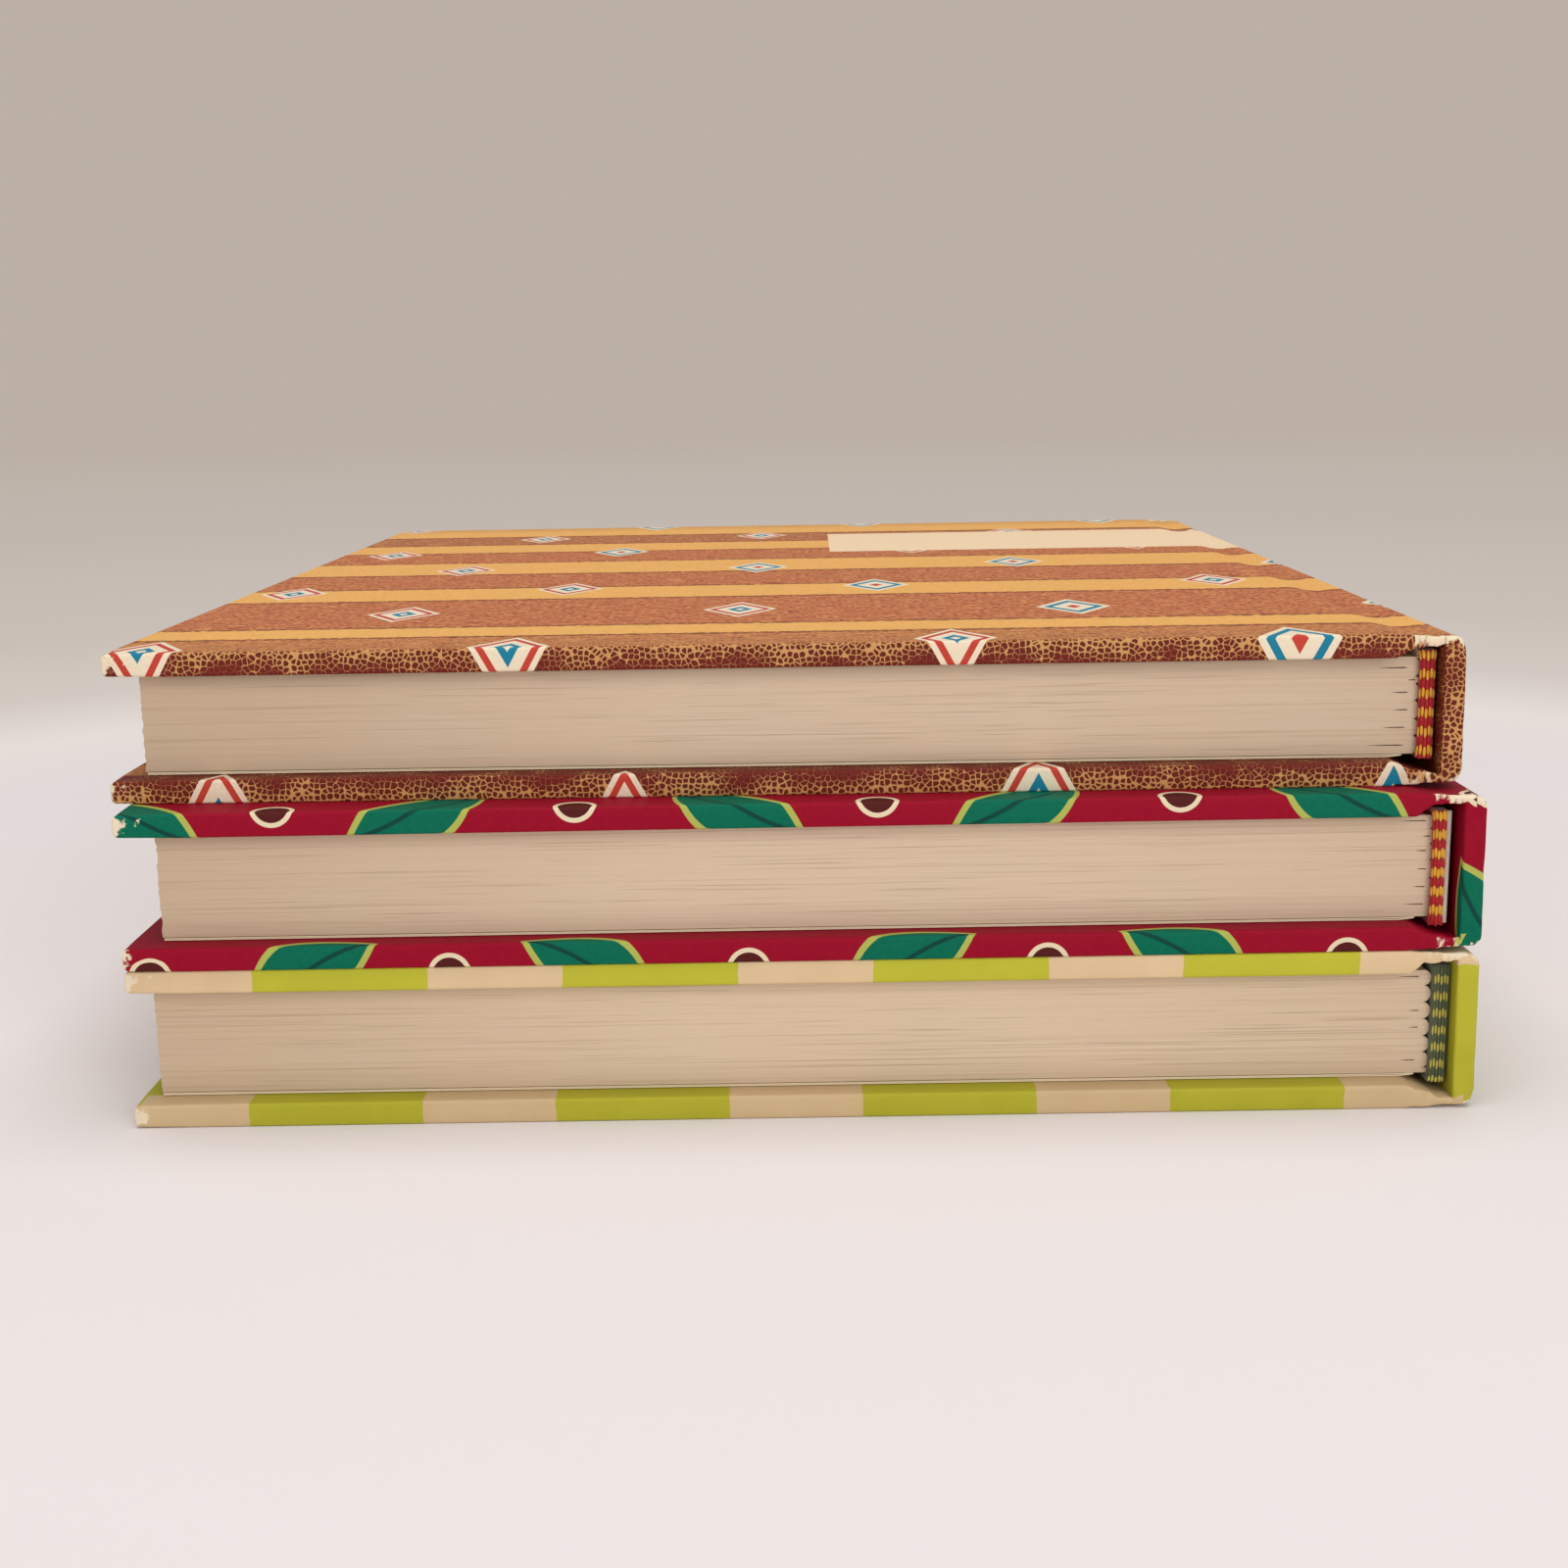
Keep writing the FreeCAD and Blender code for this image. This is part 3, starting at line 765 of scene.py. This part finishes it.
class BOOKS_OT_covers(bpy.types.Operator):
    """Make the printed paper coverings of the three cases"""

    bl_idname = "books.covers"
    bl_label = "Printed coverings"

    def execute(self, context):
        case = context.scene.book_case
        papers = {"bottom": ("printed_paper_striped", striped_paper, "striped_cover_paper"),
                  "middle": ("printed_paper_leaves", leaf_print_paper, "leaf_print_cover_paper"),
                  "top": ("printed_paper_speckled", speckled_paper, "speckled_cover_paper")}
        for book in read_books(context):
            name, maker, slot = papers[book.name]
            paper = get_material(name, maker)
            width = case.width / MM
            drop = case.spine_drop / MM
            lower, upper = cover_half(book, case, False), cover_half(book, case, True)
            spine = [(width, drop), (width, book.thickness - drop)]
            # The top book's spine piece ends where the front joint meets the spine
            opens = book.name == "top"
            front = [upper[-1], upper[0]] if opens else upper[::-1]
            bm = section_solid([*lower, *front, spine[1], spine[0]], case.height / MM)
            soften_cover(bm, book, case, False)
            if not opens:
                soften_cover(bm, book, case, True)
            round_corners(bm, spine, case.spine_radius / MM, 5)
            made = "top_spine_and_back_paper" if opens else book.name + "_cover_paper"
            self.finish(bm, book, case, made, paper, slot, [book.name + "_covering"], "root")
            if opens:
                bm = section_solid(upper, case.height / MM)
                soften_cover(bm, book, case, True)
                piece = self.finish(bm, book, case, "top_front_paper", paper, slot,
                                    ["top_front_covering"], None)
                self.hinge(piece, book, case)
        return {"FINISHED"}

    def finish(self, bm, book, case, name, paper, slot, nodes, body):
        """Round, cut, unroll and crumple one covering, and make it a piece."""
        round_rims(bm, case, 0.3)
        # Two cuts near each face keep the wear on its own rim
        levels = [1.6, 2.3]
        cut_at(bm, "z", levels + [book.thickness - level for level in levels]
               + steps(3.5, book.thickness - 3.5, 12))
        bm.normal_update()
        unroll(bm, book, case)
        crumple(bm, book, case)
        return finish_piece(bm, name, place(book, case), paper, nodes, body)

    def hinge(self, piece, book, case):
        """Bake the front cover paper's place into its mesh."""
        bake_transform(piece)


def section_of_leaves(book, case, low, high, slit):
    """One sewn section as a prism: a rounded fold at the spine, and a slit at the thread."""
    height = case.height / MM
    square = case.head_square / MM
    wobble = noise.noise(Vector((low * 1.7, 3.0, book.seed)))
    fore = book.fore_square - 0.25 + 0.15 * wobble + book.lean * (0.5 - low / book.thickness)
    back = book.block_back
    bm = bmesh.new()
    # The cut leaves at the fore-edge stand a little unevenly
    rows = max(2, round((high - low) / 0.35))
    uneven = [(fore + 0.22 * noise.noise(Vector((level * 1.3, 5.0, book.seed))), level)
              for level in steps(high, low, rows + 1)[1:-1]]
    outline = [bm.verts.new((x, 0.0, z))
               for x, z in ((fore, low), (back, low), (back, high), (fore, high), *uneven)]
    face = bm.faces.new(outline)
    radius = (high - low) * ROUNDEST_FOLD
    if book.fold_radius:
        radius = min(book.fold_radius, radius)
    bevel(bm, outline[1:3], radius, 6, "VERTICES")
    bmesh.ops.delete(bm, geom=bm.faces[:], context="FACES_ONLY")
    if slit:
        level, length, inset = slit
        end = back - inset
        points = ((end, 0.0), (end - length * 0.12, 0.085), (end - length * 0.6, 0.06),
                  (end - length, 0.0), (end - length * 0.6, -0.06), (end - length * 0.12, -0.085))
        ring = [bm.verts.new((x, 0.0, level + z)) for x, z in points]
        for one, two in zip(ring, ring[1:] + ring[:1]):
            bm.edges.new((one, two))
    bmesh.ops.triangle_fill(bm, use_beauty=True, edges=bm.edges[:])
    pull(bm, (0.0, height - 2 * square, 0.0), faces=bm.faces[:])
    shift = square + 0.06 * noise.noise(Vector((high * 2.1, 7.0, book.seed)))
    bmesh.ops.translate(bm, verts=bm.verts[:], vec=(0.0, shift, 0.0))
    bmesh.ops.recalc_face_normals(bm, faces=bm.faces)
    return bm


def join(target, part):
    """Add one bmesh to another."""
    mesh = bpy.data.meshes.new("part")
    part.to_mesh(mesh)
    part.free()
    target.from_mesh(mesh)
    bpy.data.meshes.remove(mesh)


class BOOKS_OT_leaves(bpy.types.Operator):
    """Make the sewn text blocks of the three books"""

    bl_idname = "books.leaves"
    bl_label = "Text blocks"

    def execute(self, context):
        case = context.scene.book_case
        paper = get_material("book_paper_leaf_edges", leaf_edges)
        inset = case.cover_thickness / MM + INSIDE_GAP
        for book in read_books(context):
            low, high = inset, book.thickness - inset
            block = bmesh.new()
            for first, last in zip(book.folds, book.folds[1:]):
                bottom = low + (high - low) * first
                top = low + (high - low) * last
                slit = None
                for level, length, away in book.slits:
                    if first < level < last:
                        slit = (low + (high - low) * level, length, away)
                join(block, section_of_leaves(book, case, bottom, top, slit))
            finish_piece(block, book.name + "_leaves", place(book, case), paper,
                         [book.name + "_text_block"])
        return {"FINISHED"}


def bent_sheet(path, case):
    """A sheet of endpaper as long as the leaves, bent along a path in x and z."""
    height = case.height / MM
    square = case.head_square / MM
    bm = bmesh.new()
    verts = [bm.verts.new((x, 0.0, z)) for x, z in path]
    edges = [bm.edges.new(pair) for pair in zip(verts, verts[1:])]
    pull(bm, (0.0, height - 2 * square, 0.0), edges=edges)
    bmesh.ops.translate(bm, verts=bm.verts[:], vec=(0.0, square, 0.0))
    bmesh.ops.recalc_face_normals(bm, faces=bm.faces)
    bmesh.ops.solidify(bm, geom=bm.faces[:], thickness=ENDPAPER)
    bmesh.ops.recalc_face_normals(bm, faces=bm.faces)
    return bm


def folded_endpaper(book, case, front):
    """A folded sheet beside a board: pasted leaf, fold near the spine and loose leaf."""
    inside = case.cover_thickness / MM
    back = book.block_back
    rise = 0.0 if front else 0.12
    path = [(book.fore_square, inside + 0.1), (back - 14, inside + 0.1),
            (back - 6, inside + 0.06), (back - 3.6, inside + 0.06),
            (back - 2.0, inside + 0.12 + rise), (back - 1.7, inside + 0.24 + rise),
            (back - 2.0, inside + 0.36 + rise), (back - 3.6, inside + 0.42),
            (back - 14, inside + 0.4), (book.fore_square, inside + 0.4)]
    bm = bent_sheet(path, case)
    if front:
        for vert in bm.verts:
            vert.co.z = book.thickness - vert.co.z
        bmesh.ops.reverse_faces(bm, faces=bm.faces[:])
    return bm


def joint_endpaper(book, case):
    """The strip of endpaper that crosses the joint, from the pasted leaf to the loose one."""
    groove, board_back = case_places(case)[2:]
    path = [(board_back - 0.5, -3.1), (board_back + 0.1, -3.08), (board_back + 0.5, -2.85),
            (board_back + 0.9, -2.45), (board_back + 1.3, -2.1), (board_back + 1.8, -1.92),
            (groove - 0.6, -1.87), (groove, -1.87), (groove + 0.35, -1.93), (groove + 0.6, -2.1),
            (groove + 0.72, -2.4), (groove + 0.74, -2.8), (groove + 0.66, -3.3)]
    return bent_sheet([(x, book.thickness + z) for x, z in path], case)


def dress(nodes, material):
    """Give the CAD nodes that stay in view their material."""
    for name in nodes:
        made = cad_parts[name]
        for slot in made.material_slots:
            slot.material = material


class BOOKS_OT_endpapers(bpy.types.Operator):
    """Make the folded endpapers, and give the ones of the cover that opens their paper"""

    bl_idname = "books.endpapers"
    bl_label = "Endpapers"

    def execute(self, context):
        case = context.scene.book_case
        paper = get_material("endpaper_uncoated", endpaper_stock)
        for book in read_books(context):
            finish_piece(folded_endpaper(book, case, False), book.name + "_back_fold",
                         place(book, case), paper, [book.name + "_back_endpaper"])
            if book.name != "top":
                finish_piece(folded_endpaper(book, case, True), book.name + "_front_fold",
                             place(book, case), paper,
                             [book.name + "_front_endpaper"])
        matrix = place(book, case)
        strip = finish_piece(joint_endpaper(book, case), "top_joint_endpaper", matrix, paper,
                             [], None)
        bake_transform(strip)
        dress(["top_front_pastedown", "top_front_flyleaf"], paper)
        return {"FINISHED"}


class BOOKS_OT_boards(bpy.types.Operator):
    """Give the boards and the spine linings their stock"""

    bl_idname = "books.boards"
    bl_label = "Boards and linings"

    def execute(self, context):
        board = get_material("greyboard_pressed", greyboard_stock)
        cloth = get_material("mull_cloth_starched", mull_cloth)
        for book in ("bottom", "middle", "top"):
            dress([book + "_front_board", book + "_back_board", book + "_spine_board"], board)
            dress([book + "_spine_lining"], cloth)
        return {"FINISHED"}


def woven_band(book, case, weave, lift, selvedge):
    """A band at the head: a round-nosed bead on its tape, under columns of long stitches."""
    # The band stands 0.8 mm above and below the leaves, and 1.5 mm before them
    low = case.cover_thickness / MM + INSIDE_GAP - 0.8
    high = book.thickness - low
    low, high = low + lift, high + lift
    front = case.head_square / MM - 1.5
    back, width = book.block_back, book.bead_width
    if selvedge:
        width -= SELVEDGE_WIDTH
    bm = bmesh.new()
    thread = bm.faces.layers.float.new(THREAD)
    corners = ((back, front), (back + width, front), (back + width, front + BEAD_DEPTH),
               (back + TAPE_THICKNESS, front + BEAD_DEPTH),
               (back + TAPE_THICKNESS, TAPE_LENGTH), (back, TAPE_LENGTH))
    face = bm.faces.new([bm.verts.new((x, y, low)) for x, y in corners])
    pull(bm, (0.0, 0.0, high - low), faces=[face])
    nose = [edge for edge in bm.edges
            if all(abs(vert.co.y - front) < 0.01 for vert in edge.verts)
            and abs(edge.verts[0].co.z - edge.verts[1].co.z) > 1.0]
    bevel(bm, nose, width * 0.45, 4)
    cut_at(bm, "z", steps(low + 0.4, high - 0.4, 20))
    for face in bm.faces:
        face[thread] = 0.5
    for vert in bm.verts:
        if vert.co.y < front + 2.0:
            vert.co.y = max(vert.co.y, front + 0.2)
    radius = width / 2
    for column in range(COLUMNS):
        angle = math.radians(weave.spread * (column / (COLUMNS - 1) - 0.5) + BAND_TURN)
        x = back + radius + radius * math.sin(angle)
        y = front + radius - radius * math.cos(angle)
        at = high - 0.1 + (weave.step if column % 2 else 0.0)
        floating = weave.floats_first
        while at > low + 0.2:
            length = weave.over if floating else weave.under
            start, at = at, at - length
            start, end = min(start, high), max(at, low)
            if start - end > 0.3:
                shape = Matrix.Translation((x, y, (start + end) / 2)) @ Matrix.Diagonal(
                    (weave.thread, 0.38 if floating else 0.34,
                     (start - end) * (1.12 if floating else 1.3), 1.0))
                made = bmesh.ops.create_uvsphere(bm, u_segments=8, v_segments=8, radius=0.5,
                                                 matrix=shape)
                for face in {face for vert in made["verts"] for face in vert.link_faces}:
                    face[thread] = 1.0 if floating else 0.5
            floating = not floating
    if selvedge:
        beside = Matrix.Translation((back + width + SELVEDGE_WIDTH / 2, front + 0.9,
                                     (low + high) / 2))
        made = bmesh.ops.create_cone(bm, cap_ends=True, segments=10, radius1=SELVEDGE_RADIUS,
                                     radius2=SELVEDGE_RADIUS, depth=high - low - 0.3,
                                     matrix=beside)
        for face in {face for vert in made["verts"] for face in vert.link_faces}:
            face[thread] = 0.0
    # The bead is wider at both ends, and leans with the block
    centre = back + radius
    for vert in bm.verts:
        if vert.co.y < front + 3.0:
            flare = math.exp(-(high - vert.co.z) / 0.7) + 0.6 * math.exp(-(vert.co.z - low) / 0.7)
            widened = 0.4 if vert.co.x < centre else 0.15
            vert.co.x = centre + (vert.co.x - centre) * (1 + widened * flare)
            vert.co.x += book.lean * (vert.co.z / book.thickness - 0.7)
    bmesh.ops.recalc_face_normals(bm, faces=bm.faces)
    return bm


class BOOKS_OT_bands(bpy.types.Operator):
    """Make the woven head and tail bands"""

    bl_idname = "books.bands"
    bl_label = "Head and tail bands"

    def execute(self, context):
        case = context.scene.book_case
        silks = {"bottom": ("artificial_silk_grey", grey_silk, "grey_green_silk"),
                 "middle": ("artificial_silk_warm", warm_silk, "red_yellow_silk"),
                 "top": ("artificial_silk_warm", warm_silk, "red_yellow_silk")}
        for book in read_books(context):
            name, maker, slot = silks[book.name]
            silk = get_material(name, maker)
            for end in ("head", "tail"):
                bm = woven_band(book, case, GREY_WEAVE if book.name == "bottom" else WARM_WEAVE,
                                0.4 if book.name == "top" else 0.0, book.name == "middle")
                if end == "tail":
                    for vert in bm.verts:
                        vert.co.y = case.height / MM - vert.co.y
                    bmesh.ops.reverse_faces(bm, faces=bm.faces[:])
                finish_piece(bm, f"{book.name}_{end}_weave", place(book, case), silk,
                             [f"{book.name}_{end}_band"])
        return {"FINISHED"}


def table_paint(name):
    """Matt off-white paint near the books; the far part fades into the pale wall."""
    made, add, shader = start_material(name, roughness=0.9)
    shader.inputs["Base Color"].default_value = linear("#DFD8D7")
    point = add("TexCoord", out="Object")
    away = add("VectorMath.LENGTH", [point], out="Value")
    share = add("Math.DIVIDE", [away, 2.5])
    tone = add("ValToRGB", [share], stops=((0.11, "#E6DDD8"), (0.14, "#D3C9C2"), (0.2, "#C9BFB7"),
                                           (0.4, "#C2B7AE"), (1.0, WALL)))
    wall = add("Emission", {"Color": tone, "Strength": 1.0})
    far = add("MapRange", [away, 0.2, 0.29], interpolation_type="SMOOTHSTEP")
    seen = add("LightPath", out="Is Camera Ray")
    far = add("Math.MULTIPLY", [far, seen])
    surface = add("MixShader", [far, shader.outputs[0], wall])
    tree = made.node_tree
    tree.links.new(surface, tree.nodes["Material Output"].inputs["Surface"])
    return made


class BOOKS_OT_stage(bpy.types.Operator):
    """Make the floor, the soft lamps and the camera"""

    bl_idname = "books.stage"
    bl_label = "Floor, lamps and camera"

    def execute(self, context):
        scene = context.scene
        bm = bmesh.new()
        bmesh.ops.create_grid(bm, x_segments=1, y_segments=1, size=8.0)
        mesh = bpy.data.meshes.new("floor")
        bm.to_mesh(mesh)
        bm.free()
        floor = bpy.data.objects.new("floor", mesh)
        scene.collection.objects.link(floor)
        mesh.materials.append(get_material("painted_table_matt", table_paint))

        for name, place_at, size, energy in LAMPS:
            data = bpy.data.lights.new(name, "AREA")
            data.size = size
            data.energy = energy
            lamp = bpy.data.objects.new(name, data)
            lamp.location = place_at
            lamp.rotation_euler = (Vector(LOOKED_AT) - lamp.location).to_track_quat(
                "-Z", "Y").to_euler()
            scene.collection.objects.link(lamp)
        world = bpy.data.worlds.new("soft_room")
        world.use_nodes = True
        tree = world.node_tree
        add = partial(add_node, tree)
        seen = add("LightPath", out="Is Camera Ray")
        light = add("Background", {"Color": "#F2F0EF", "Strength": 0.45})
        behind = add("Background", {"Color": WALL, "Strength": 1.0})
        surface = add("MixShader", [seen, light, behind])
        tree.links.new(surface, tree.nodes["World Output"].inputs["Surface"])
        scene.world = world
        scene.view_settings.view_transform = "Standard"

        data = bpy.data.cameras.new("camera")
        data.sensor_width = SENSOR
        data.lens = LENS
        data.clip_start = 0.02
        camera = bpy.data.objects.new("camera", data)
        pitch, yaw, roll = CAMERA_PITCH, CAMERA_YAW, CAMERA_ROLL
        level_right = Vector((math.cos(yaw), -math.sin(yaw), 0))
        ahead = Vector((math.sin(yaw) * math.cos(pitch), math.cos(yaw) * math.cos(pitch),
                        -math.sin(pitch)))
        upward = level_right.cross(ahead)
        right = level_right * math.cos(roll) + upward * math.sin(roll)
        up = upward * math.cos(roll) - level_right * math.sin(roll)
        camera.matrix_world = Matrix((
            *((right[row], up[row], -ahead[row], CAMERA_PLACE[row]) for row in range(3)),
            (0, 0, 0, 1)))
        scene.collection.objects.link(camera)
        scene.camera = camera
        return {"FINISHED"}


class BOOKS_PT_panel(bpy.types.Panel):
    """The steps that build the stack"""

    bl_idname = "BOOKS_PT_panel"
    bl_label = "Stack of books"
    bl_space_type = "VIEW_3D"
    bl_region_type = "UI"
    bl_category = "Books"

    def draw(self, context):
        case = context.scene.book_case
        for name in case.bl_rna.properties.keys():
            if name not in ("rna_type", "name"):
                self.layout.prop(case, name)
        for step in OPERATORS:
            self.layout.operator(step.bl_idname)


OPERATORS = (BOOKS_OT_covers, BOOKS_OT_leaves, BOOKS_OT_endpapers, BOOKS_OT_boards,
             BOOKS_OT_bands, BOOKS_OT_stage)
CLASSES = (CaseSettings, *OPERATORS, BOOKS_PT_panel)


def register():
    """Register the classes and the settings."""
    for made in CLASSES:
        bpy.utils.register_class(made)
    bpy.types.Scene.book_case = PointerProperty(type=CaseSettings)


def unregister():
    """Take the settings and the classes away again."""
    del bpy.types.Scene.book_case
    for made in reversed(CLASSES):
        bpy.utils.unregister_class(made)


def main():
    """Build the stack on its frame."""
    register()
    for step in OPERATORS:
        category, name = step.bl_idname.split(".")
        getattr(getattr(bpy.ops, category), name)()


if __name__ == "__main__":
    main()
